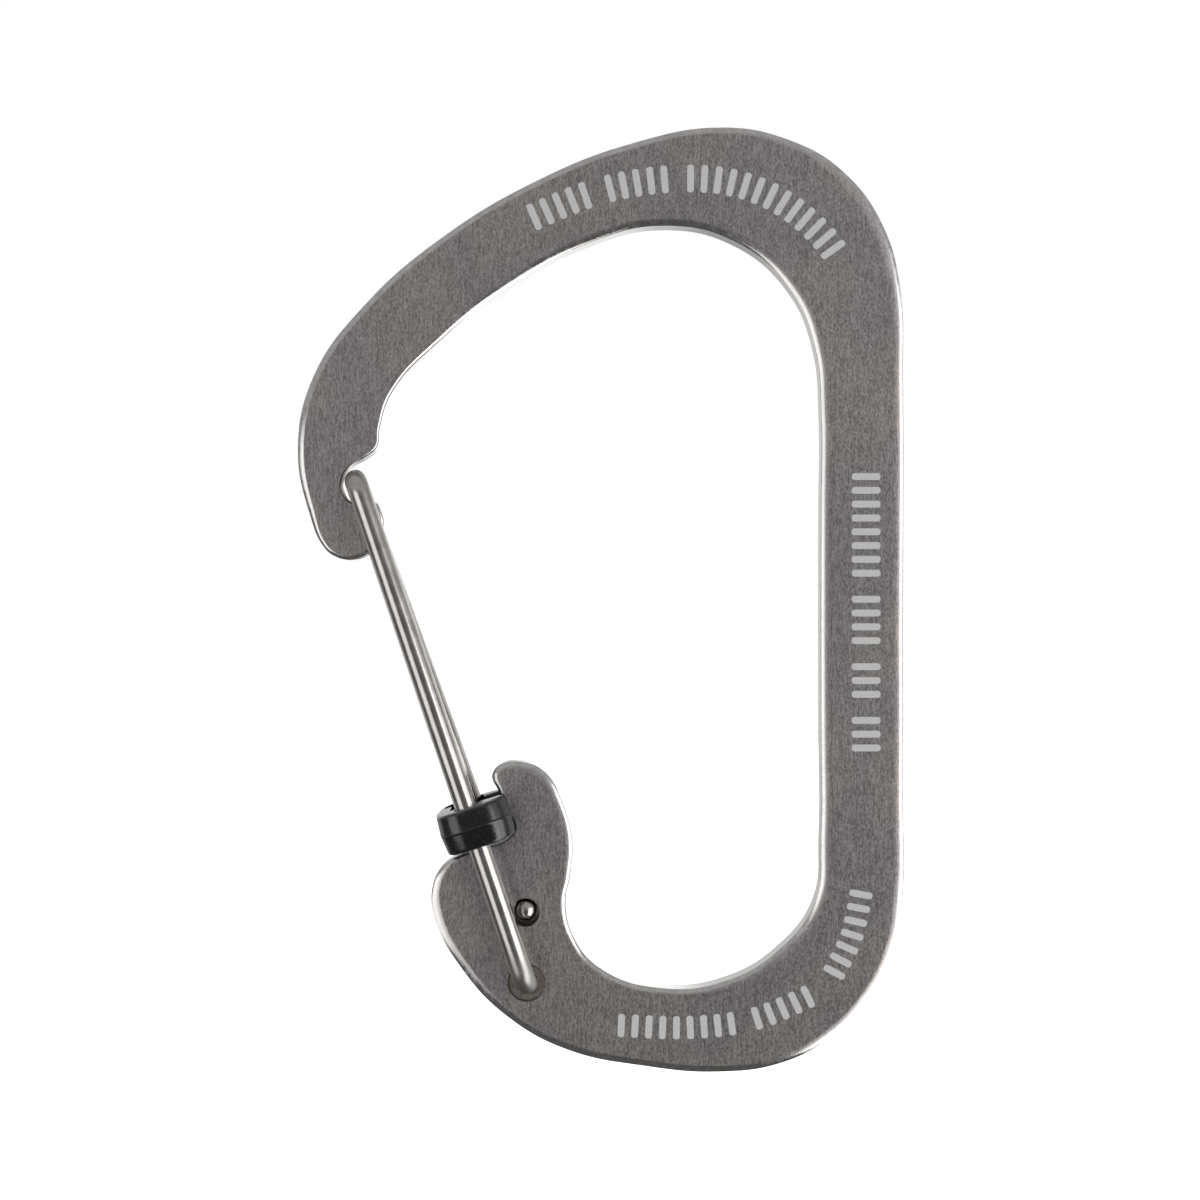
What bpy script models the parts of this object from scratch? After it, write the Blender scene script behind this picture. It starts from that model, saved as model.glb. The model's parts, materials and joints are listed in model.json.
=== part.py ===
"""Plate carabiner: a stamped steel frame, a sprung wire gate and a collar that slides on the gate.

The frame lies in the XZ plane with its thickness along Y and its front towards -Y.
Sizes below are in millimetres; the objects are built in metres.
"""
import math

import bmesh
import bpy
from mathutils import Vector

MM = 0.001
COLLECTION = "plate_carabiner"

# Frame plate
PLATE_THICKNESS = 3.0
PLATE_EDGE = 0.5            # rounding of every edge of the stamping
CURVE_STEPS = 4             # segments between two knots of the outline
BEVEL_STEPS = 1
SHARP_ANGLE = 35            # degrees; shallower edges are shaded smooth
ARC_STEP = 18               # degrees between the points of a small arc
WELD = 0.01

# The outline is one smooth closed curve through these (x, z) knots.
NOSE_ARCH = [
    (11.1, 42.5), (2.65, 41.0), (-5.8, 37.65), (-14.0, 32.75), (-21.2, 26.5), (-25.75, 20.15),
    (-27.17, 13.6), (-26.07, 7.6), (-24.83, 4.75),
]
NOSE_TAIL = [
    (-23.7, 3.87), (-22.3, 3.65), (-20.75, 4.3), (-19.55, 6.2), (-19.65, 8.0), (-20.35, 8.85),
]
NOSE_POCKET = [
    (-21.35, 8.7), (-22.5, 8.85), (-23.2, 9.7), (-23.3, 10.8), (-22.45, 12.05), (-20.95, 12.95),
    (-20.0, 13.85),
]
INNER_ARCH = [
    (-19.8, 15.4), (-18.7, 18.65), (-14.2, 23.5), (-7.85, 28.5), (-0.52, 32.3), (5.5, 33.65),
    (12.0, 32.3), (17.12, 27.93), (19.35, 22.6),
]
SPINE_INNER = [(19.87, 17.0), (19.87, 8.0), (19.87, -12.0), (19.87, -21.5)]
BOW_CENTRE = (6.92, -21.25)  # the round lower end of the opening
BOW_RADIUS = 13.73
BOW_ANGLES = (-25, -48, -72, -96, -120)
FINGER = [
    (-2.4, -30.25), (-3.1, -27.2), (-2.65, -24.6), (-2.5, -21.6), (-3.35, -18.3), (-4.97, -15.45),
    (-7.2, -14.55), (-9.0, -14.85), (-9.7, -15.7), (-9.1, -17.2), (-8.2, -19.3),
]
COLLAR_SEAT = [(-7.75, -20.5), (-8.4, -21.4), (-10.4, -22.15), (-12.6, -22.95)]
PIVOT_LOBE = [
    (-14.2, -23.95), (-15.05, -25.7), (-14.92, -28.4), (-12.3, -33.33), (-8.24, -37.52),
    (-3.0, -40.41), (4.0, -41.9), (10.7, -42.42),
]
HEEL_CENTRE = (11.3, -26.5)  # the round lower outer corner
HEEL_RADIUS = 15.93
HEEL_ANGLES = (-72, -54, -36, -18, 0)
SPINE_OUTER = [(27.25, -18.0), (27.25, 0.0), (27.25, 20.0)]
SHOULDER = [(27.0, 28.0), (25.5, 33.55), (21.85, 38.55), (17.0, 41.38)]

# Wire gate. Its own axes start at the pivot: u across the gate, y through the plate, t along it.
WIRE_RADIUS = 1.0
WIRE_BEND = 1.5             # centreline radius of the tight bends
GATE_PIVOT = (-6.58, -34.4)
GATE_TILT = 18.63           # degrees, from upright towards -X
GATE_LENGTH = 47.65
LEG_OFFSET = 2.95           # each leg's centre from the mid plane
HEAD_REACH = 1.85           # the rounded wire ends stand this far from the mid plane
HEAD_ANGLES = (60, 35, 12)  # degrees up the rounding of a wire end
WIRE_SIDES = 4              # bevel resolution of the round wire
NOSE_BAR_GAP = 0.3          # between the two halves at the middle of the nose bar
ANCHOR = (1.95, 6.2)        # (u, t) of the back leg's own hole
NOSE_SKEW = 0.6             # the nose bar leaves the back leg this far outwards of the front leg
CRANK = (0.27, 12.0)        # (u, t) where the back leg bends towards its anchor
PIVOT_HOLE_RADIUS = 1.1
ANCHOR_HOLE_RADIUS = 1.28
ANCHOR_HOLE_DROP = 0.18     # the hole sits lower than the wire, which moves down as the gate opens
RECESS_RADIUS = 1.7         # shallow recess round a hole, on the side where its wire ends or bends
RECESS_FLOOR = 1.55
RECESS_DEPTH = 0.2
HOLE_SEGMENTS = 40
CUTTER_BEYOND = 1.0         # how far a cutter stands out of the plate

# Collar round both legs: one section extruded along the gate
COLLAR_FROM = 13.35
COLLAR_HEIGHT = 3.7
COLLAR_EDGE = 0.15
# (u, y, corner radius)
COLLAR_OUTLINE = [
    (3.4, -1.8, 0.25), (3.05, -4.72, 2.35), (-2.8, -4.72, 2.35), (-3.25, 0.0, 8.0),
    (-2.8, 4.72, 1.8), (3.05, 4.72, 2.3), (3.4, 1.8, 0.25),
]
BACK_GROOVE = [(1.4, 1.8, 0.25), (1.4, 4.07, 0.9), (-2.35, 4.07, 1.1)]
FRONT_GROOVE = [
    (-2.35, -1.8, 0.2), (-1.12, -1.8, 0.25), (-1.12, -4.07, 1.0), (1.12, -4.07, 1.0),
    (1.12, -1.8, 0.25),
]


def clear_scene():
    for obj in list(bpy.data.objects):
        bpy.data.objects.remove(obj, do_unlink=True)


def new_collection(name):
    collection = bpy.data.collections.new(name)
    bpy.context.scene.collection.children.link(collection)
    return collection


def new_material(name, colour, roughness, metallic):
    material = bpy.data.materials.new(name)
    material.use_nodes = True
    shader = material.node_tree.nodes["Principled BSDF"]
    shader.inputs["Base Color"].default_value = (*colour, 1.0)
    shader.inputs["Roughness"].default_value = roughness
    shader.inputs["Metallic"].default_value = metallic
    return material


def arc(centre, radius, degrees):
    """Knots on a circle at the given angles."""
    return [(centre[0] + radius * math.cos(math.radians(a)),
             centre[1] + radius * math.sin(math.radians(a))) for a in degrees]


def rounded_path(corners, closed=False, step=math.radians(ARC_STEP)):
    """A polyline through (point, radius) corners, each replaced by an arc of its radius."""
    points = []
    last = len(corners) - 1
    for i, (corner, radius) in enumerate(corners):
        if not closed and i in (0, last):
            points.append(corner.copy())
            continue
        back = (corners[i - 1][0] - corner).normalized()
        ahead = (corners[(i + 1) % len(corners)][0] - corner).normalized()
        half = back.angle(ahead) / 2
        centre = corner + (back + ahead).normalized() * (radius / math.sin(half))
        turn = math.pi - 2 * half
        start = corner + back * (radius / math.tan(half)) - centre
        end = corner + ahead * (radius / math.tan(half)) - centre
        count = max(1, math.ceil(turn / step))
        for k in range(count + 1):
            a = turn * k / count
            points.append(centre + (start * math.sin(turn - a) + end * math.sin(a)) / math.sin(turn))
    return points


def link_curve(name, curve, collection, material):
    curve.materials.append(material)
    obj = bpy.data.objects.new(name, curve)
    collection.objects.link(obj)
    return obj


def flat_curve(name, thickness, edge):
    """A filled 2D curve, extruded to the thickness, with rounded edges inside its outline."""
    curve = bpy.data.curves.new(name, "CURVE")
    curve.dimensions = "2D"
    curve.fill_mode = "BOTH"
    curve.extrude = (thickness / 2 - edge) * MM
    curve.bevel_depth = edge * MM
    curve.offset = -edge * MM
    return curve


def to_mesh(obj, collection):
    """Replace a curve object by a closed mesh of the same name and place."""
    name = obj.name
    depsgraph = bpy.context.evaluated_depsgraph_get()
    mesh = bpy.data.meshes.new_from_object(obj.evaluated_get(depsgraph))
    work = bmesh.new()
    work.from_mesh(mesh)
    bmesh.ops.remove_doubles(work, verts=work.verts, dist=WELD * MM)
    bmesh.ops.recalc_face_normals(work, faces=work.faces)
    work.to_mesh(mesh)
    work.free()
    result = bpy.data.objects.new(name + "_mesh", mesh)
    result.matrix_world = obj.matrix_world.copy()
    bpy.data.objects.remove(obj, do_unlink=True)
    result.name = name
    mesh.name = name
    collection.objects.link(result)
    return result


def cone_cutter(name, x, z, y_from, y_to, radius_from, radius_to, collection):
    """A cutter along Y from y_from to y_to, with a radius at each end."""
    mesh = bpy.data.meshes.new(name)
    work = bmesh.new()
    bmesh.ops.create_cone(work, cap_ends=True, segments=HOLE_SEGMENTS, radius1=radius_from * MM,
                          radius2=radius_to * MM, depth=(y_to - y_from) * MM)
    work.to_mesh(mesh)
    work.free()
    cutter = bpy.data.objects.new(name, mesh)
    cutter.location = (x * MM, (y_from + y_to) / 2 * MM, z * MM)
    cutter.rotation_euler = (math.radians(-90), 0, 0)
    cutter.hide_render = True
    cutter.display_type = "WIRE"
    collection.objects.link(cutter)
    return cutter


def gate_point(u, t):
    """World (x, z) of a point given across and along the gate."""
    tilt = math.radians(GATE_TILT)
    return (GATE_PIVOT[0] + u * math.cos(tilt) - t * math.sin(tilt),
            GATE_PIVOT[1] + u * math.sin(tilt) + t * math.cos(tilt))


def make_plate(collection, cutters, material):
    curve = flat_curve("frame_plate", PLATE_THICKNESS, PLATE_EDGE)
    curve.resolution_u = CURVE_STEPS
    curve.bevel_resolution = BEVEL_STEPS
    knots = (NOSE_ARCH + NOSE_TAIL + NOSE_POCKET + INNER_ARCH + SPINE_INNER
             + arc(BOW_CENTRE, BOW_RADIUS, BOW_ANGLES) + FINGER + COLLAR_SEAT + PIVOT_LOBE
             + arc(HEEL_CENTRE, HEEL_RADIUS, HEEL_ANGLES) + SPINE_OUTER + SHOULDER)
    spline = curve.splines.new("BEZIER")
    spline.bezier_points.add(len(knots) - 1)
    spline.use_cyclic_u = True
    for knot, (x, z) in zip(spline.bezier_points, knots):
        knot.co = (x * MM, z * MM, 0)
        knot.handle_left_type = knot.handle_right_type = "AUTO"
    obj = link_curve("frame_plate", curve, collection, material)
    obj.rotation_euler = (math.radians(90), 0, 0)
    bpy.context.view_layer.update()
    plate = to_mesh(obj, collection)

    half = PLATE_THICKNESS / 2
    out = half + CUTTER_BEYOND
    floor = half - RECESS_DEPTH
    flare = RECESS_FLOOR + (RECESS_RADIUS - RECESS_FLOOR) * (out - floor) / RECESS_DEPTH
    anchor_x, anchor_z = gate_point(*ANCHOR)
    anchor_z -= ANCHOR_HOLE_DROP
    holes = [
        cone_cutter("pivot_hole", *GATE_PIVOT, -out, out,
                    PIVOT_HOLE_RADIUS, PIVOT_HOLE_RADIUS, cutters),
        cone_cutter("anchor_hole", anchor_x, anchor_z, -out, out,
                    ANCHOR_HOLE_RADIUS, ANCHOR_HOLE_RADIUS, cutters),
        cone_cutter("pivot_recess", *GATE_PIVOT, -out, -floor, flare, RECESS_FLOOR, cutters),
        cone_cutter("anchor_recess", anchor_x, anchor_z, floor, out, RECESS_FLOOR, flare, cutters),
    ]
    for cutter in holes:
        cut = plate.modifiers.new(cutter.name, "BOOLEAN")
        cut.operation = "DIFFERENCE"
        cut.solver = "EXACT"
        cut.object = cutter
    plate.data.shade_smooth()
    plate.data.set_sharp_from_angle(angle=math.radians(SHARP_ANGLE))
    return plate


def make_wire(name, corners, parent, origin, collection, material):
    """A bent wire through corners in gate axes, rounded off at its first end."""
    path = rounded_path([(Vector(point), WIRE_BEND) for point in corners])
    inward = (path[1] - path[0]).normalized()
    head = []
    for angle in HEAD_ANGLES:
        shift = 1 - math.sin(math.radians(angle))
        head.append((path[0] + inward * shift * WIRE_RADIUS, math.cos(math.radians(angle))))
    path[0] = path[0] + inward * WIRE_RADIUS
    points = head + [(point, 1.0) for point in path]

    curve = bpy.data.curves.new(name, "CURVE")
    curve.dimensions = "3D"
    curve.bevel_depth = WIRE_RADIUS * MM
    curve.bevel_resolution = WIRE_SIDES
    curve.use_fill_caps = True
    spline = curve.splines.new("POLY")
    spline.points.add(len(points) - 1)
    for knot, (point, width) in zip(spline.points, points):
        knot.co = (*((point - Vector(origin)) * MM), 1.0)
        knot.radius = width
    wire = link_curve(name, curve, collection, material)
    wire.parent = parent
    wire.location = Vector(origin) * MM
    return wire


def make_collar(parent, collection, material):
    curve = flat_curve("lock_collar", COLLAR_HEIGHT, COLLAR_EDGE)
    curve.bevel_resolution = 0
    corners = COLLAR_OUTLINE + BACK_GROOVE + FRONT_GROOVE
    path = rounded_path([(Vector((u, y, 0)), radius) for u, y, radius in corners], closed=True)
    spline = curve.splines.new("POLY")
    spline.points.add(len(path) - 1)
    spline.use_cyclic_u = True
    for knot, point in zip(spline.points, path):
        knot.co = (*(point * MM), 1.0)
    obj = link_curve("lock_collar", curve, collection, material)
    bpy.context.view_layer.update()
    collar = to_mesh(obj, collection)
    collar.parent = parent
    collar.location = (0, 0, (COLLAR_FROM + COLLAR_HEIGHT / 2) * MM)
    collar.data.shade_smooth()
    collar.data.set_sharp_from_angle(angle=math.radians(SHARP_ANGLE))
    return collar


def main():
    clear_scene()
    collection = new_collection(COLLECTION)
    cutters = new_collection("cutters")
    plate_steel = new_material("brushed_steel", (0.20, 0.19, 0.18), 0.42, 1.0)
    wire_steel = new_material("drawn_steel", (0.52, 0.50, 0.46), 0.22, 1.0)
    black = new_material("black_plastic", (0.015, 0.015, 0.017), 0.25, 0.0)

    make_plate(collection, cutters, plate_steel)

    gate = bpy.data.objects.new("gate_pivot", None)
    gate.location = (GATE_PIVOT[0] * MM, 0, GATE_PIVOT[1] * MM)
    gate.rotation_euler = (0, math.radians(-GATE_TILT), 0)
    collection.objects.link(gate)

    nose_front = Vector((0, -LEG_OFFSET, GATE_LENGTH))
    nose_back = Vector((-NOSE_SKEW, LEG_OFFSET, GATE_LENGTH))
    nose_middle = (nose_front + nose_back) / 2
    half_gap = (nose_back - nose_front).normalized() * NOSE_BAR_GAP / 2
    make_wire("gate_wire_front", [
        (0, HEAD_REACH, 0), (0, -LEG_OFFSET, 0), nose_front, nose_middle - half_gap,
    ], gate, (0, 0, 0), collection, wire_steel)
    u, t = ANCHOR
    make_wire("gate_wire_back", [
        (u, -HEAD_REACH, t), (u, LEG_OFFSET, t), (CRANK[0], LEG_OFFSET, CRANK[1]),
        nose_back, nose_middle + half_gap,
    ], gate, nose_middle, collection, wire_steel)
    make_collar(gate, collection, black)


main()
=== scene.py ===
"""The finished look of the plate carabiner: fine meshes, materials, light and camera.

Named lengths are in millimetres and named angles in degrees, unless they say otherwise. The scene
is in metres.
"""
import json
import math

import bmesh
import bpy
from mathutils import Matrix, Vector


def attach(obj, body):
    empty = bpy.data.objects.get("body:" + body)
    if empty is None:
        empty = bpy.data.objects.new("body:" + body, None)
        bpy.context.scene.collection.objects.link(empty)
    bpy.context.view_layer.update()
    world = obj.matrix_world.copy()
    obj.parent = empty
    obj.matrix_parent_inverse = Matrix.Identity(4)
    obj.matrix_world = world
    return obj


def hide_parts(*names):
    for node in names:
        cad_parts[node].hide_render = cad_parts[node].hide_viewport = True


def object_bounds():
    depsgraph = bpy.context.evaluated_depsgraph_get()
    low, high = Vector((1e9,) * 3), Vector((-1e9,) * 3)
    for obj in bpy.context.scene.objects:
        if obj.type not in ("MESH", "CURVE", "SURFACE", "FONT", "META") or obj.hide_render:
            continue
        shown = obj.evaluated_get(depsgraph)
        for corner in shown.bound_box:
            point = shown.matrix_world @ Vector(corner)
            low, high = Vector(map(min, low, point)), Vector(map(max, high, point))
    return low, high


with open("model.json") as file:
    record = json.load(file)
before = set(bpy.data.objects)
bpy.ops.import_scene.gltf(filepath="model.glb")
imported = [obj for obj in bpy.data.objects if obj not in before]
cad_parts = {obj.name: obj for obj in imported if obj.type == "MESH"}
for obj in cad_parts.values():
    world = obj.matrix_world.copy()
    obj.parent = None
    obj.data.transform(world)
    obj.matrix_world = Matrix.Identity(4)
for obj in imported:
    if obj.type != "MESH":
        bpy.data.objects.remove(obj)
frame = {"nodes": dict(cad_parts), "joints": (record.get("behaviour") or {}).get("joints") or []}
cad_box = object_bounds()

MM = 0.001
WELD = 0.002                # points closer than this become one
CAD_WELD = 0.001            # and the same where a CAD mesh is read
ARC_STEP = 7                # the turn between two points of a rounded corner
CAD = frame["nodes"]
JOINTS = {joint["name"]: joint for joint in frame["joints"]}

# Frame plate. Its edges fall EDGE_DEPTH from the face to the wall. Their width across the face and
# their bevel, from 0 for an elliptical rounding to 1 for a flat bevel, are those of the stations
# (x, z, width, bevel) along the outline, blended in between. A narrow strip EDGE_HOLD wide on either
# side of each edge keeps the wall and the face flat.
PLATE_THICKNESS = 3.0
PLATE_SHARP_ANGLE = 35
CAD_EDGE = 0.5              # depth of the CAD plate's own edge rounding
LEVEL_TOLERANCE = 0.005     # how far a point may be from the level at which the outline is read
OUTLINE_STEPS = 4           # curve steps between two points of the CAD plate's outline
EDGE_DEPTH = 0.28
EDGE_STEPS = 10
EDGE_HOLD = 0.04
EDGE_STATIONS = [
    (3.0, 41.0, 0.55, 0.7), (-14.0, 32.8, 0.55, 0.7), (-27.0, 12.0, 0.58, 0.75),
    (-22.3, 3.6, 0.35, 0.3), (-19.6, 8.0, 0.25, 0.0), (-21.4, 8.7, 0.14, 0.0), (-22.5, 12.0, 0.14, 0.0),
    (-20.0, 13.8, 0.22, 0.0), (-18.7, 18.6, 0.30, 0.2), (-8.0, 28.3, 0.65, 0.6), (8.0, 33.4, 0.65, 0.6),
    (17.2, 28.0, 0.85, 0.5), (19.9, 12.0, 1.0, 0.4), (19.9, -14.0, 1.0, 0.4), (16.0, -31.5, 0.85, 0.5),
    (7.0, -34.9, 0.50, 0.5), (-3.1, -27.2, 0.50, 0.3), (-3.0, -20.0, 0.85, 0.1),
    (-6.2, -14.8, 0.85, 0.6), (-9.5, -15.4, 0.55, 0.5), (-8.2, -19.3, 0.30, 0.0),
    (-12.6, -22.95, 0.40, 0.0), (-14.6, -25.0, 0.70, 0.6), (-15.0, -28.0, 0.80, 0.7),
    (-12.4, -33.4, 0.75, 0.8), (-3.0, -40.5, 0.60, 0.7), (12.0, -42.5, 0.60, 0.7),
    (23.0, -37.5, 0.85, 0.7), (27.25, -15.0, 0.95, 0.0), (27.25, 20.0, 0.95, 0.0),
    (24.5, 36.0, 1.10, 0.5), (17.0, 41.4, 0.70, 0.6),
]

# The plate's two holes, each with a shallow recess on the side where its wire ends or bends
PIVOT_HOLE_RADIUS = 1.03
ANCHOR_HOLE_RADIUS = 1.28
ANCHOR_HOLE_DROP = 0.18     # the hole sits lower than the wire, which moves down as the gate opens
RECESS_RADIUS = 1.7
RECESS_FLOOR = 1.55         # radius of the recess at its floor
RECESS_DEPTH = 0.2
RECESS_SHADE_MARGIN = 0.03          # the painted shade ends this far outside the recess
HOLE_SEGMENTS = 72
CUTTER_BEYOND = 1.0         # how far a cutter stands out of the plate

# Wire gate, in its own axes from the pivot: u across the gate, y through the plate, t along it
PIVOT = Vector(JOINTS["gate_swing"]["pos_m"])
GATE_AXIS = Vector(JOINTS["lock_slide"]["axis"]).normalized()
GATE_ACROSS = Vector((GATE_AXIS.z, 0, -GATE_AXIS.x))
WIRE_RADIUS = 1.0
WIRE_BEND = 1.5             # centreline radius of the tight bends
WIRE_SIDES = 10             # bevel resolution of the round wire
WIRE_SHARP_ANGLE = 40
GATE_LENGTH = 47.65
LEG_OFFSET = 2.95           # each leg's centre from the mid plane
HEAD_REACH = 1.85           # the rounded wire ends stand this far from the mid plane
HEAD_STEP = 9               # the turn between two rings of a rounded end
HEAD_TIP = 0.002            # share of the wire's radius that keeps the end's first ring open
ANCHOR = (1.95, 6.2)        # (u, t) of the back leg's own hole
NOSE_SKEW = 0.6             # the nose bar leaves the back leg this far outwards of the front leg
CRANK = (0.27, 12.0)        # (u, t) where the back leg bends towards its anchor

# The back leg's shoulder, a low round flange over its hole on the plate's back face
SHOULDER_RADIUS = 1.55
SHOULDER_THICKNESS = 0.15
SHOULDER_CLEAR = 0.02       # between the shoulder and the plate
SHOULDER_EDGE = 0.05
SHOULDER_STEP = 6

# Collar: (u, y, corner radius) of its outside and of its slot. It sits a little low on the wires
# and is tipped forward on them. The two halves of its mould meet at mid-height, in a fine ridge.
COLLAR_FROM = 13.19         # t of its lower end
COLLAR_HEIGHT = 3.7
COLLAR_TIP = 1.6
COLLAR_EDGE = 0.28          # rounding of the outside at either end
SLOT_EDGE = 0.04            # and that of the slot
COLLAR_TAPER = 0.14         # the outside stands back by this at either end, in a straight draft
COLLAR_BARREL = 0.04        # and by this in a round one
COLLAR_LEVELS = 16          # rings from mid-height to either end
COLLAR_ARC_STEP = 5
COLLAR_SHARP_ANGLE = 50
PARTING_WIDTH = 0.05        # half the ridge's width
PARTING_PROUD = 0.025
COLLAR_OUTSIDE = [
    (3.70, -1.6, 0.62), (3.20, -4.72, 2.35), (-2.80, -4.72, 2.35), (-3.25, 0.0, 8.0),
    (-2.80, 4.72, 1.8), (3.20, 4.72, 2.3), (3.70, 1.6, 0.62),
]
COLLAR_SLOT = [
    (1.4, 1.6, 0.25), (1.4, 4.07, 0.9), (-2.35, 4.07, 1.1), (-2.35, 1.8, 0.2), (-1.65, 1.8, 0.15),
    (-1.65, -1.6, 0.15), (-1.12, -1.6, 0.15), (-1.12, -4.07, 1.0), (1.12, -4.07, 1.0),
    (1.12, -1.6, 0.25),
]

# Etched bands: rows of plain bars on smooth paths of (x, z) points on the plate's front.
# Each band is (path, bar height, groups of bars).
MARK_PROUD = 0.012
BAR_WIDTH = 0.62
BAR_CORNER = 0.25
BAR_CORNER_STEP = 30
BAR_PITCH = 1.24
GROUP_GAP = 1.1
PATH_STEPS = 12             # straight pieces between two points of a path
BANDS = [
    ([(-6.2, 34.3), (-0.5, 36.6), (5.5, 37.75), (11.3, 37.6), (16.2, 35.8), (20.4, 32.2), (23.4, 27.2)],
     2.5, (5, 5, 13)),
    ([(23.9, -13.6), (23.9, 14.6)], 2.6, (3, 3, 4, 8)),
    ([(1.6, -38.2), (8.0, -38.4), (14.0, -37.6), (20.0, -35.0)], 2.1, (9, 5)),
    ([(20.9, -33.7), (22.6, -30.2), (23.6, -25.6)], 2.1, (7,)),
]

# Camera: its distance gives the view's depth, its lens the framing
CAMERA_DISTANCE = 200.0
VIEW_WIDTH = 108.6          # what the frame spans at the plate
SENSOR = 36.0

FLOOR_DROP = 100.0          # from the object's lowest point to the floor
FLOOR_SIZE = 4.0            # metres

# Softboxes, seen from the object: (name, azimuth from the camera's side towards +X, half the width,
# lower edge, upper edge, brightness)
SOFTBOX_DISTANCE = 0.55     # metres
SOFTBOXES = [
    ("left_softbox", -43, 19, -32, 9, 1.4),
    ("right_softbox", 45, 10, -52, 16, 2.9),
    ("right_side_softbox", 69, 14, -52, 16, 2.0),
    ("back_left_softbox", -135, 24, -26, 26, 0.55),
    ("back_right_softbox", 135, 24, -26, 26, 0.55),
]


def smooth(obj, degrees):
    obj.data.shade_smooth()
    obj.data.set_sharp_from_angle(angle=math.radians(degrees))


def link(name, data):
    obj = bpy.data.objects.new(name, data)
    bpy.context.scene.collection.objects.link(obj)
    return obj


def baked(obj):
    """Turn a curve, or a mesh with modifiers, into a plain closed mesh of the same name and place."""
    name = obj.name
    bpy.context.view_layer.update()
    depsgraph = bpy.context.evaluated_depsgraph_get()
    mesh = bpy.data.meshes.new_from_object(obj.evaluated_get(depsgraph))
    work = bmesh.new()
    work.from_mesh(mesh)
    bmesh.ops.remove_doubles(work, verts=work.verts, dist=WELD * MM)
    bmesh.ops.recalc_face_normals(work, faces=work.faces)
    work.to_mesh(mesh)
    work.free()
    world = obj.matrix_world.copy()
    bpy.data.objects.remove(obj, do_unlink=True)
    result = link(name, mesh)
    result.matrix_world = world
    return result


def gate_matrix():
    """Places the gate's axes (u, y, t) in the shared frame."""
    axes = Matrix((GATE_ACROSS, (0, 1, 0), GATE_AXIS)).transposed().to_4x4()
    return Matrix.Translation(PIVOT) @ axes


def corner_arcs(corners, closed, step):
    """For each (point, radius) corner of a polyline, the points of the arc that replaces it.

    An arc has a point at least every step degrees.
    """
    arcs = []
    last = len(corners) - 1
    for i, (corner, radius) in enumerate(corners):
        if not closed and i in (0, last):
            arcs.append([corner.copy()])
            continue
        back = (corners[i - 1][0] - corner).normalized()
        ahead = (corners[(i + 1) % len(corners)][0] - corner).normalized()
        half = back.angle(ahead) / 2
        centre = corner + (back + ahead).normalized() * (radius / math.sin(half))
        turn = math.pi - 2 * half
        start = corner + back * (radius / math.tan(half)) - centre
        end = corner + ahead * (radius / math.tan(half)) - centre
        count = max(1, math.ceil(turn / math.radians(step)))
        arc = []
        for k in range(count + 1):
            from_start, to_end = turn * k / count, turn * (1 - k / count)
            arc.append(centre + (start * math.sin(to_end) + end * math.sin(from_start))
                       / math.sin(turn))
        arcs.append(arc)
    return arcs


def rounded_path(corners, closed=False, step=ARC_STEP):
    return [point for arc in corner_arcs(corners, closed, step) for point in arc]


# ---------------------------------------------------------------- materials

class Graph:
    """The nodes of a material or world, added and linked by short calls."""

    def __init__(self, owner):
        owner.use_nodes = True
        self.tree = owner.node_tree
        self.tree.nodes.clear()

    def add(self, kind, inputs=None, **settings):
        node = self.tree.nodes.new("ShaderNode" + kind)
        for name, value in settings.items():
            setattr(node, name, value)
        for name, value in (inputs or {}).items():
            socket = node.inputs[name]
            if isinstance(value, bpy.types.NodeSocket):
                self.tree.links.new(value, socket)
            else:
                socket.default_value = value
        return node

    def maths(self, operation, a, b=0.0):
        return self.add("Math", {0: a, 1: b}, operation=operation).outputs[0]

    def along(self, coordinates, axis):
        """One of the three components of the object's Object, Normal or Generated coordinates."""
        place = self.add("TexCoord").outputs[coordinates]
        return self.add("SeparateXYZ", {0: place}).outputs[axis]

    def noise(self, vector, detail, roughness):
        return self.add("TexNoise", {"Vector": vector, "Scale": 1.0, "Detail": detail,
                                     "Roughness": roughness}).outputs["Fac"]

    def fade(self, value, low, high, to_low=0.0, to_high=1.0):
        return self.add("MapRange", {"Value": value, "From Min": low, "From Max": high,
                                     "To Min": to_low, "To Max": to_high},
                        interpolation_type="SMOOTHSTEP").outputs["Result"]

    def blend(self, factor, a, b):
        """A number between a and b."""
        return self.add("Mix", {0: factor, 2: a, 3: b}, data_type="FLOAT").outputs[0]

    def mix(self, factor, a, b, blend="MIX"):
        """A colour between a and b, each with its three values in linear light and an alpha of 1."""
        node = self.add("Mix", data_type="RGBA", blend_type=blend)
        for socket, value in ((node.inputs[0], factor), (node.inputs[6], a), (node.inputs[7], b)):
            if isinstance(value, bpy.types.NodeSocket):
                self.tree.links.new(value, socket)
            else:
                socket.default_value = value
        return node.outputs[2]


def stretched(graph, across, along):
    """Object coordinates scaled so that a noise of scale 1 has these sizes, in mm, along local Z."""
    place = graph.add("TexCoord").outputs["Object"]
    scale = (1 / (across * MM), 1 / (across * MM), 1 / (along * MM))
    return graph.add("Mapping", {"Vector": place, "Scale": scale}).outputs["Vector"]


def evenly(graph, size):
    return stretched(graph, size, size)


def surface(graph, colour, roughness, height, depth, strength, constants):
    """The shader, with a bump of this depth in mm and the constants of its other sockets."""
    bump = graph.add("Bump", {"Height": height, "Strength": strength, "Distance": depth * MM})
    shader = graph.add("BsdfPrincipled", {"Base Color": colour, "Roughness": roughness,
                                          "Normal": bump.outputs["Normal"], **constants})
    graph.add("OutputMaterial", {"Surface": shader.outputs["BSDF"]})


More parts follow.
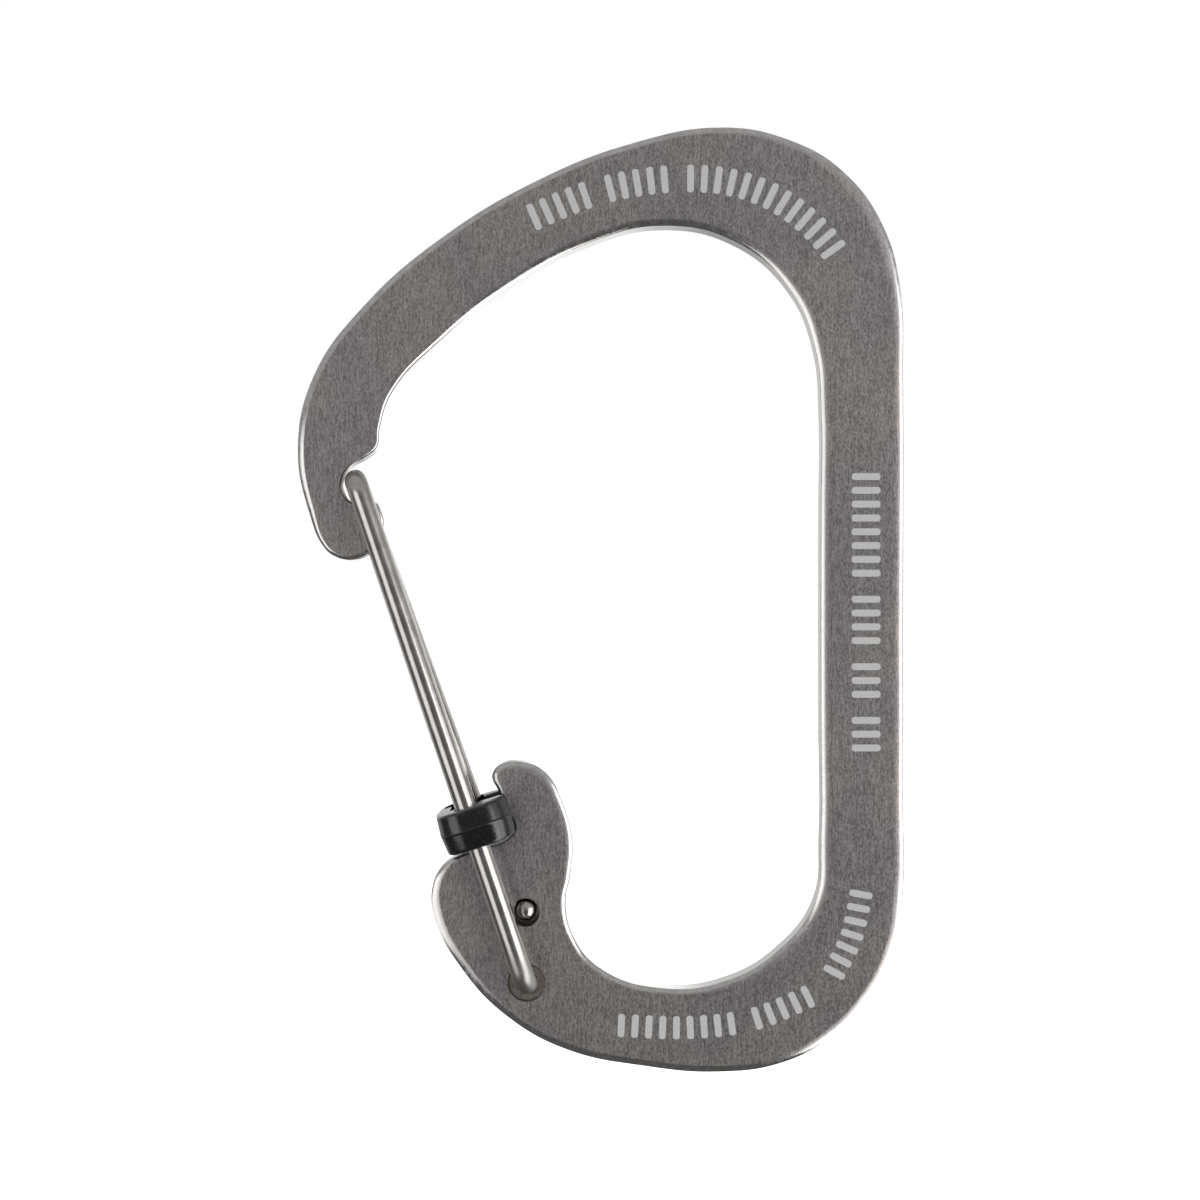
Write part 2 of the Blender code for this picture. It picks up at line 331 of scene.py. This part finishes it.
def plate_finish():
    """Brushed on the faces and tumbled bright round the edges, told apart by the surface's own slope.

    The faces carry fine upright scratches under broad warm and cool clouds.
    """
    material = bpy.data.materials.new("plate_finish")
    graph = Graph(material)
    slope = graph.maths("ABSOLUTE", graph.along("Normal", "Y"))
    edge = graph.fade(slope, 0.998, 0.93)
    wall = graph.fade(slope, 0.45, 0.10)

    fine = graph.noise(stretched(graph, 0.11, 0.26), 3.0, 0.7)
    coarse = graph.noise(stretched(graph, 0.14, 1.6), 2.0, 0.5)
    grain = graph.blend(0.25, fine, coarse)
    cloud = graph.noise(evenly(graph, 13.0), 2.0, 0.55)
    base = graph.mix(graph.fade(cloud, 0.38, 0.62), (0.485, 0.455, 0.428, 1), (0.435, 0.408, 0.425, 1))
    brushed = graph.mix(1.0, base, graph.fade(grain, 0.36, 0.64, 0.66, 1.34), "MULTIPLY")

    wear = graph.noise(evenly(graph, 0.7), 4.0, 0.6)
    bright = graph.mix(graph.fade(wear, 0.35, 0.65), (0.56, 0.545, 0.53, 1), (0.68, 0.665, 0.65, 1))
    colour = graph.mix(edge, brushed, bright)
    colour = graph.mix(wall, colour, (0.46, 0.445, 0.43, 1))

    rough_face = graph.fade(grain, 0.3, 0.7, 0.41, 0.51)
    rough_edge = graph.fade(wear, 0.35, 0.7, 0.15, 0.26)
    roughness = graph.blend(wall, graph.blend(edge, rough_face, rough_edge), 0.26)
    height = graph.maths("MULTIPLY", grain, graph.maths("SUBTRACT", 1.0, edge))
    surface(graph, colour, roughness, height, 0.006, 0.35, {"Metallic": 1.0})
    return material


def bored_hole():
    """The two drilled holes and their shallow recesses: dull, and coloured darker and browner as a
    painted shade and painted warm reflection.
    """
    material = bpy.data.materials.new("bored_hole")
    graph = Graph(material)
    mottle = graph.noise(evenly(graph, 0.25), 3.0, 0.6)
    # painted shade and painted warm reflection: the holes and recesses get a darker, browner colour
    # than the face
    colour = graph.mix(graph.fade(mottle, 0.35, 0.65), (0.34, 0.30, 0.265, 1), (0.46, 0.41, 0.36, 1))
    roughness = graph.fade(mottle, 0.3, 0.7, 0.34, 0.48)
    surface(graph, colour, roughness, mottle, 0.008, 0.4, {"Metallic": 1.0})
    return material


def drawn_wire():
    """Drawn wire with fine lines along its length, rubbed dull round its pivot end."""
    material = bpy.data.materials.new("drawn_wire")
    graph = Graph(material)
    lines = graph.noise(stretched(graph, 0.10, 9.0), 3.0, 0.6)
    cloud = graph.noise(evenly(graph, 1.4), 3.0, 0.55)
    dull = graph.fade(graph.along("Object", "Z"), 4.5 * MM, 0.5 * MM)
    colour = graph.mix(graph.fade(cloud, 0.35, 0.65), (0.46, 0.44, 0.415, 1), (0.54, 0.52, 0.49, 1))
    colour = graph.mix(dull, colour, (0.46, 0.44, 0.42, 1))
    roughness = graph.fade(graph.maths("ADD", lines, cloud), 0.7, 1.3, 0.17, 0.27)
    roughness = graph.blend(dull, roughness, 0.46)
    surface(graph, colour, roughness, lines, 0.005, 0.3, {"Metallic": 1.0})
    return material


def etched_steel():
    """Pale dull laser etching, still showing a little of the brushing."""
    material = bpy.data.materials.new("etched_steel")
    graph = Graph(material)
    grain = graph.noise(stretched(graph, 0.12, 0.8), 3.0, 0.6)
    colour = graph.mix(graph.fade(grain, 0.3, 0.7), (0.76, 0.76, 0.76, 1), (0.88, 0.88, 0.88, 1))
    roughness = graph.fade(grain, 0.3, 0.7, 0.6, 0.75)
    surface(graph, colour, roughness, grain, 0.004, 0.3, {"Metallic": 0.1})
    return material


def glossy_black():
    """Moulded black plastic: glossy round its sides and scuffed, with its two end faces painted paler
    as a painted reflection.
    """
    material = bpy.data.materials.new("glossy_black")
    graph = Graph(material)
    # painted reflection: the end faces, found by their normal along the gate, get a paler colour than
    # the glossy sides
    end = graph.fade(graph.maths("ABSOLUTE", graph.along("Normal", "Z")), 0.55, 0.95)
    peel = graph.noise(evenly(graph, 0.55), 2.0, 0.5)
    scuff = graph.noise(evenly(graph, 0.30), 4.0, 0.65)
    side = graph.mix(graph.fade(scuff, 0.5, 0.8), (0.004, 0.004, 0.006, 1), (0.014, 0.014, 0.017, 1))
    painted_end_sheen = graph.mix(graph.fade(scuff, 0.35, 0.65), (0.15, 0.15, 0.155, 1), (0.24, 0.24, 0.245, 1))
    roughness = graph.fade(scuff, 0.40, 0.75, 0.20, 0.36)
    surface(graph, graph.mix(end, side, painted_end_sheen), roughness, peel, 0.01, 0.25,
            {"Specular IOR Level": 0.9})
    return material


# ---------------------------------------------------------------- frame plate

def plate_outline():
    """The plate's outline, read where the CAD plate's wall meets its edge rounding."""
    work = bmesh.new()
    work.from_mesh(CAD["frame_plate"].data)
    bmesh.ops.remove_doubles(work, verts=work.verts, dist=CAD_WELD * MM)
    level = (PLATE_THICKNESS / 2 - CAD_EDGE) * MM
    ring = {v for v in work.verts if abs(v.co.y - level) < LEVEL_TOLERANCE * MM}
    loops = []
    while ring:
        start = min(ring, key=lambda v: (v.co.x, v.co.z))
        ring.discard(start)
        loop = [start]
        while True:
            steps = [e.other_vert(loop[-1]) for e in loop[-1].link_edges]
            steps = [v for v in steps if v in ring]
            if not steps:
                break
            loop.append(min(steps, key=lambda v: (v.co - loop[-1].co).length))
            ring.discard(loop[-1])
        loops.append([(v.co.x, v.co.z) for v in loop])
    work.free()
    return max(loops, key=len)


def cone_cutter(x, z, y_from, y_to, radius_from, radius_to):
    """A cone or cylinder along Y. Its x and z are in metres, its other sizes in mm."""
    mesh = bpy.data.meshes.new("cutter")
    work = bmesh.new()
    bmesh.ops.create_cone(work, cap_ends=True, segments=HOLE_SEGMENTS, depth=(y_to - y_from) * MM,
                          radius1=radius_from * MM, radius2=radius_to * MM)
    work.to_mesh(mesh)
    work.free()
    cutter = link("cutter", mesh)
    cutter.matrix_world = (Matrix.Translation((x, (y_from + y_to) / 2 * MM, z))
                           @ Matrix.Rotation(math.radians(-90), 4, "X"))
    return cutter


def fine_outline():
    """The plate's outline as close (x, z) points in mm, going round it once."""
    curve = bpy.data.curves.new("outline", "CURVE")
    curve.dimensions = "2D"
    curve.fill_mode = "NONE"
    curve.resolution_u = OUTLINE_STEPS
    knots = plate_outline()
    spline = curve.splines.new("BEZIER")
    spline.bezier_points.add(len(knots) - 1)
    spline.use_cyclic_u = True
    for knot, (x, z) in zip(spline.bezier_points, knots):
        knot.co = (x, z, 0)
        knot.handle_left_type = knot.handle_right_type = "AUTO"
    obj = link("outline", curve)
    mesh = bpy.data.meshes.new_from_object(obj.evaluated_get(bpy.context.evaluated_depsgraph_get()))
    bpy.data.objects.remove(obj, do_unlink=True)
    return [v.co.to_2d() / MM for v in mesh.vertices]


def inward_normals(points):
    """For each point of a closed outline, the unit vector into the material."""
    count = len(points)
    area = sum(points[i - 1].x * points[i].y - points[i].x * points[i - 1].y for i in range(count))
    side = 1 if area > 0 else -1
    normals = []
    for i in range(count):
        along = points[(i + 1) % count] - points[i - 1]
        normals.append((side * Vector((-along.y, along.x))).normalized())
    return normals


def edge_shapes(points):
    """The (width, bevel) of the edge at each point, blended along the outline between stations."""
    stations = sorted((min(range(len(points)), key=lambda i: (points[i] - Vector((x, z))).length),
                       Vector((width, bevel))) for x, z, width, bevel in EDGE_STATIONS)
    run = [0.0]
    for i in range(1, len(points)):
        run.append(run[-1] + (points[i] - points[i - 1]).length)
    length = run[-1] + (points[0] - points[-1]).length
    marks = [(run[i], shape) for i, shape in stations]
    marks = [(marks[-1][0] - length, marks[-1][1])] + marks + [(marks[0][0] + length, marks[0][1])]
    shapes = []
    for distance in run:
        k = max(i for i, mark in enumerate(marks) if mark[0] <= distance)
        (low, before), (high, after) = marks[k], marks[k + 1]
        f = (distance - low) / (high - low)
        shapes.append(before.lerp(after, f * f * (3 - 2 * f)))
    return shapes


def loft(name, rings):
    """A closed mesh through rings of equally many points in mm, with flat ends."""
    work = bmesh.new()
    loops = [[work.verts.new(Vector(point) * MM) for point in ring] for ring in rings]
    for first, second in zip(loops, loops[1:]):
        for i in range(len(first)):
            work.faces.new((first[i - 1], first[i], second[i], second[i - 1]))
    caps = [work.faces.new(loops[0]), work.faces.new(reversed(loops[-1]))]
    bmesh.ops.recalc_face_normals(work, faces=work.faces)
    bmesh.ops.triangulate(work, faces=caps, ngon_method="EAR_CLIP")
    mesh = bpy.data.meshes.new(name)
    work.to_mesh(mesh)
    work.free()
    return link(name, mesh)


def plate_rings():
    """The plate's sections from front to back, each with its outline in mm."""
    points = fine_outline()
    normals = inward_normals(points)
    shapes = edge_shapes(points)
    rings = []
    for side in (-1, 1):
        rounding = []
        for k in range(EDGE_STEPS + 1):
            f = k / EDGE_STEPS
            a = math.radians(90 * f)
            ring = []
            for point, normal, (width, bevel) in zip(points, normals, shapes):
                inset = width * ((1 - bevel) * (1 - math.cos(a)) + bevel * f)
                drop = EDGE_DEPTH * ((1 - bevel) * (1 - math.sin(a)) + bevel * (1 - f))
                place = point + normal * inset
                ring.append((place.x, side * (PLATE_THICKNESS / 2 - drop), place.y))
            rounding.append(ring)
        level = side * (PLATE_THICKNESS / 2 - EDGE_DEPTH - EDGE_HOLD)
        wall = [(x, level, z) for x, y, z in rounding[0]]
        flat = [(x + normal.x * EDGE_HOLD, y, z + normal.y * EDGE_HOLD)
                for (x, y, z), normal in zip(rounding[-1], normals)]
        rounding = [wall] + rounding + [flat]
        rings += rounding if side > 0 else rounding[::-1]
    return rings


def cut_holes(plate, anchor):
    """The plate with its two holes and their recesses cut out."""
    half = PLATE_THICKNESS / 2
    out = half + CUTTER_BEYOND
    floor = half - RECESS_DEPTH
    flare = RECESS_FLOOR + (RECESS_RADIUS - RECESS_FLOOR) * (out - floor) / RECESS_DEPTH
    holes = [
        cone_cutter(PIVOT.x, PIVOT.z, -out, out, PIVOT_HOLE_RADIUS, PIVOT_HOLE_RADIUS),
        cone_cutter(anchor.x, anchor.z, -out, out, ANCHOR_HOLE_RADIUS, ANCHOR_HOLE_RADIUS),
        cone_cutter(PIVOT.x, PIVOT.z, -out, -floor, flare, RECESS_FLOOR),
        cone_cutter(anchor.x, anchor.z, floor, out, RECESS_FLOOR, flare),
    ]
    for cutter in holes:
        cut = plate.modifiers.new("hole", "BOOLEAN")
        cut.operation = "DIFFERENCE"
        cut.solver = "EXACT"
        cut.object = cutter
    plate = baked(plate)
    for cutter in holes:
        bpy.data.objects.remove(cutter, do_unlink=True)
    return plate


def shade_recesses(mesh, centres):
    """Give the second material, which carries the painted shade, to what lies wholly within a recess
    round one of the centres.
    """
    reach = (RECESS_RADIUS + RECESS_SHADE_MARGIN) * MM
    for polygon in mesh.polygons:
        corners = [Vector((mesh.vertices[i].co.x, 0, mesh.vertices[i].co.z)) for i in polygon.vertices]
        inside = any(all((corner - centre).length < reach for corner in corners) for centre in centres)
        polygon.material_index = 1 if inside else 0


def make_plate(face, bore):
    anchor = gate_matrix() @ Vector((ANCHOR[0] * MM, 0, ANCHOR[1] * MM))
    anchor.z -= ANCHOR_HOLE_DROP * MM
    plate = cut_holes(loft("frame_plate_fine", plate_rings()), anchor)
    plate.data.materials.clear()
    plate.data.materials.append(face)
    plate.data.materials.append(bore)
    shade_recesses(plate.data, [Vector((place.x, 0, place.z)) for place in (PIVOT, anchor)])
    smooth(plate, PLATE_SHARP_ANGLE)
    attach(plate, "frame")
    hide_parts("frame_plate")


# ---------------------------------------------------------------- etched bands

def path_point(knots, distance):
    """Point and direction at a distance, in mm, along a smooth path of (x, z) knots."""
    points = []
    for i in range(len(knots) - 1):
        p = [Vector(knots[max(0, min(len(knots) - 1, i + k))]) for k in (-1, 0, 1, 2)]
        for step in range(PATH_STEPS):
            f = step / PATH_STEPS
            points.append(0.5 * (2 * p[1] + (p[2] - p[0]) * f
                                 + (2 * p[0] - 5 * p[1] + 4 * p[2] - p[3]) * f ** 2
                                 + (3 * p[1] - p[0] - 3 * p[2] + p[3]) * f ** 3))
    points.append(Vector(knots[-1]))
    for a, b in zip(points, points[1:]):
        length = (b - a).length
        if distance <= length or b is points[-1]:
            return a + (b - a) * (distance / length), (b - a).normalized()
        distance -= length


def bar_outline(centre, along, height):
    up = Vector((-along.y, along.x))
    corners = []
    for a, b in ((-1, -1), (1, -1), (1, 1), (-1, 1)):
        corner = centre + along * (a * BAR_WIDTH / 2) + up * (b * height / 2)
        corners.append((corner.to_3d(), BAR_CORNER))
    return rounded_path(corners, closed=True, step=BAR_CORNER_STEP)


def make_marks(material):
    """Rows of plain bars, raised by the thickness of the etched layer."""
    curve = bpy.data.curves.new("etched_marks", "CURVE")
    curve.dimensions = "2D"
    curve.fill_mode = "BOTH"
    curve.extrude = MARK_PROUD * MM
    for knots, height, groups in BANDS:
        distance = BAR_WIDTH / 2
        for count in groups:
            for _ in range(count):
                outline = bar_outline(*path_point(knots, distance), height)
                spline = curve.splines.new("POLY")
                spline.points.add(len(outline) - 1)
                spline.use_cyclic_u = True
                for knot, point in zip(spline.points, outline):
                    knot.co = (*(point * MM), 1)
                distance += BAR_PITCH
            distance += GROUP_GAP
    obj = link("etched_marks", curve)
    obj.matrix_world = (Matrix.Translation((0, -PLATE_THICKNESS / 2 * MM, 0))
                        @ Matrix.Rotation(math.radians(90), 4, "X"))
    marks = baked(obj)
    marks.data.materials.append(material)
    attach(marks, "frame")


# ---------------------------------------------------------------- wire gate

def make_wire(name, corners, material, body, node):
    """A bent wire through corners in gate axes, rounded off at its first end."""
    path = rounded_path([(Vector(point), WIRE_BEND) for point in corners])
    inward = (path[1] - path[0]).normalized()
    head = []
    for degrees in range(90, 0, -HEAD_STEP):
        a = math.radians(degrees)
        place = path[0] + inward * ((1 - math.sin(a)) * WIRE_RADIUS)
        head.append((place, math.cos(a) + HEAD_TIP))
    path[0] = path[0] + inward * WIRE_RADIUS
    points = head + [(point, 1.0) for point in path]
    curve = bpy.data.curves.new(name, "CURVE")
    curve.dimensions = "3D"
    curve.bevel_depth = WIRE_RADIUS * MM
    curve.bevel_resolution = WIRE_SIDES
    curve.use_fill_caps = True
    spline = curve.splines.new("POLY")
    spline.points.add(len(points) - 1)
    for knot, (point, width) in zip(spline.points, points):
        knot.co = (*(point * MM), 1)
        knot.radius = width
    obj = link(name, curve)
    obj.matrix_world = gate_matrix()
    wire = baked(obj)
    smooth(wire, WIRE_SHARP_ANGLE)
    wire.data.materials.append(material)
    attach(wire, body)
    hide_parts(node)


def make_shoulder(material):
    """The back leg's shoulder, which closes its hole from behind."""
    near = PLATE_THICKNESS / 2 + SHOULDER_CLEAR
    far = near + SHOULDER_THICKNESS
    narrow = SHOULDER_RADIUS - SHOULDER_EDGE
    profile = [(narrow, near), (SHOULDER_RADIUS, near + SHOULDER_EDGE),
               (SHOULDER_RADIUS, far - SHOULDER_EDGE), (narrow, far)]
    rings = []
    for radius, y in profile:
        ring = []
        for degrees in range(0, 360, SHOULDER_STEP):
            a = math.radians(degrees)
            ring.append((ANCHOR[0] + radius * math.cos(a), y, ANCHOR[1] + radius * math.sin(a)))
        rings.append(ring)
    piece = loft("anchor_shoulder", rings)
    piece.matrix_world = gate_matrix()
    smooth(piece, WIRE_SHARP_ANGLE)
    piece.data.materials.append(material)
    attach(piece, "gate_back")


# ---------------------------------------------------------------- collar

def collar_inset(height, is_slot):
    """How far the wall stands back from the outline at a height from mid-height, both in mm."""
    half = COLLAR_HEIGHT / 2
    edge = SLOT_EDGE if is_slot else COLLAR_EDGE
    into_edge = max(0.0, abs(height) - (half - edge))
    inset = edge * (1 - math.sqrt(max(0.0, 1 - (into_edge / edge) ** 2)))
    if not is_slot:
        share = abs(height) / half
        inset += COLLAR_TAPER * share + COLLAR_BARREL * share * share
        inset -= PARTING_PROUD * max(0.0, 1 - abs(height) / PARTING_WIDTH)
    return inset


def make_collar(material):
    corners = [(Vector((u, y, 0)), r) for u, y, r in COLLAR_OUTSIDE + COLLAR_SLOT]
    arcs = corner_arcs(corners, True, COLLAR_ARC_STEP)
    points = [p.to_2d() for arc in arcs for p in arc]
    normals = inward_normals(points)
    slots = [i >= len(COLLAR_OUTSIDE) for i, arc in enumerate(arcs) for _ in arc]
    half = COLLAR_HEIGHT / 2
    heights = [half * math.sin(math.radians(90 * k / COLLAR_LEVELS)) for k in range(COLLAR_LEVELS + 1)]
    heights = sorted({-h for h in heights} | set(heights) | {-PARTING_WIDTH, PARTING_WIDTH})
    rings = []
    for height in heights:
        ring = [p + n * collar_inset(height, slot) for p, n, slot in zip(points, normals, slots)]
        rings.append([(p.x, p.y, height) for p in ring])
    collar = loft("lock_collar_fine", rings)
    collar.matrix_world = (gate_matrix()
                           @ Matrix.Translation((0, 0, (COLLAR_FROM + half) * MM))
                           @ Matrix.Rotation(math.radians(COLLAR_TIP), 4, "X"))
    smooth(collar, COLLAR_SHARP_ANGLE)
    collar.data.materials.append(material)
    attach(collar, "collar")
    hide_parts("lock_collar")


# ---------------------------------------------------------------- studio

def make_camera():
    data = bpy.data.cameras.new("camera")
    data.sensor_width = SENSOR
    data.lens = SENSOR * CAMERA_DISTANCE / VIEW_WIDTH
    data.clip_start = 0.01
    data.clip_end = 20.0
    camera = link("camera", data)
    camera.location = (0, -CAMERA_DISTANCE * MM, 0)
    camera.rotation_euler = (math.radians(90), 0, 0)
    bpy.context.scene.camera = camera


def make_floor():
    bpy.ops.mesh.primitive_plane_add(size=FLOOR_SIZE, location=(0, 0, cad_box[0].z - FLOOR_DROP * MM))
    floor = bpy.context.object
    floor.name = "floor"
    material = bpy.data.materials.new("pale_floor")
    graph = Graph(material)
    shader = graph.add("BsdfPrincipled", {"Base Color": (0.9, 0.9, 0.9, 1), "Roughness": 0.9,
                                          "Emission Color": (1, 1, 1, 1), "Emission Strength": 1.0})
    graph.add("OutputMaterial", {"Surface": shader.outputs["BSDF"]})
    floor.data.materials.append(material)
    floor.visible_glossy = False
    floor.visible_diffuse = False


def make_world():
    """White to the camera. What the metal mirrors is darker below and in front, paler above, and
    has a patch of the white background straight behind, brightest towards +X."""
    world = bpy.data.worlds.new("studio")
    bpy.context.scene.world = world
    graph = Graph(world)
    x, y, z = (graph.along("Generated", axis) for axis in "XYZ")
    room = graph.fade(z, -0.50, 0.55, 0.12, 0.46)
    front = graph.fade(y, -0.85, -0.97, 1.0, graph.fade(z, -0.35, 0.30, 0.75, 0.45))
    patch = graph.maths("MULTIPLY", graph.fade(y, 0.93, 0.985), graph.fade(z, -0.20, -0.06, 0.5, 1.0))
    behind = graph.maths("MULTIPLY", patch, graph.fade(x, -0.06, 0.13, 0.7, 2.3))
    level = graph.maths("ADD", graph.maths("MULTIPLY", room, front), behind)
    studio = graph.add("Background", {"Color": (1, 1, 1, 1), "Strength": level})
    white = graph.add("Background", {"Color": (1, 1, 1, 1), "Strength": 1.0})
    seen = graph.add("LightPath").outputs["Is Camera Ray"]
    both = graph.add("MixShader", {0: seen, 1: studio.outputs[0], 2: white.outputs[0]})
    graph.add("OutputWorld", {"Surface": both.outputs[0]})


def softbox(name, azimuth, half_width, low, high, brightness):
    """A soft area light facing the object, placed by its angles as SOFTBOXES gives them."""
    side = math.radians(azimuth)
    rise = math.radians((low + high) / 2)
    data = bpy.data.lights.new(name, "AREA")
    data.shape = "RECTANGLE"
    data.size = 2 * SOFTBOX_DISTANCE * math.tan(math.radians(half_width))
    data.size_y = 2 * SOFTBOX_DISTANCE * math.tan(math.radians((high - low) / 2))
    data.energy = brightness * math.pi * data.size * data.size_y
    light = link(name, data)
    light.location = SOFTBOX_DISTANCE * Vector((math.sin(side) * math.cos(rise),
                                                -math.cos(side) * math.cos(rise), math.sin(rise)))
    light.rotation_euler = (-light.location).to_track_quat("-Z", "Y").to_euler()
    light.visible_camera = False


def main():
    make_plate(plate_finish(), bored_hole())
    make_marks(etched_steel())

    wire = drawn_wire()
    nose_front = Vector((0, -LEG_OFFSET, GATE_LENGTH))
    nose_back = Vector((-NOSE_SKEW, LEG_OFFSET, GATE_LENGTH))
    nose_middle = (nose_front + nose_back) / 2
    make_wire("gate_wire_front_fine", [
        (0, HEAD_REACH, 0), (0, -LEG_OFFSET, 0), nose_front, nose_middle,
    ], wire, "gate_front", "gate_wire_front")
    u, t = ANCHOR
    make_wire("gate_wire_back_fine", [
        (u, -HEAD_REACH, t), (u, LEG_OFFSET, t), (CRANK[0], LEG_OFFSET, CRANK[1]),
        nose_back, nose_middle,
    ], wire, "gate_back", "gate_wire_back")
    make_shoulder(wire)
    make_collar(glossy_black())

    make_camera()
    make_floor()
    make_world()
    for row in SOFTBOXES:
        softbox(*row)
    bpy.context.scene.view_settings.view_transform = "Standard"


main()
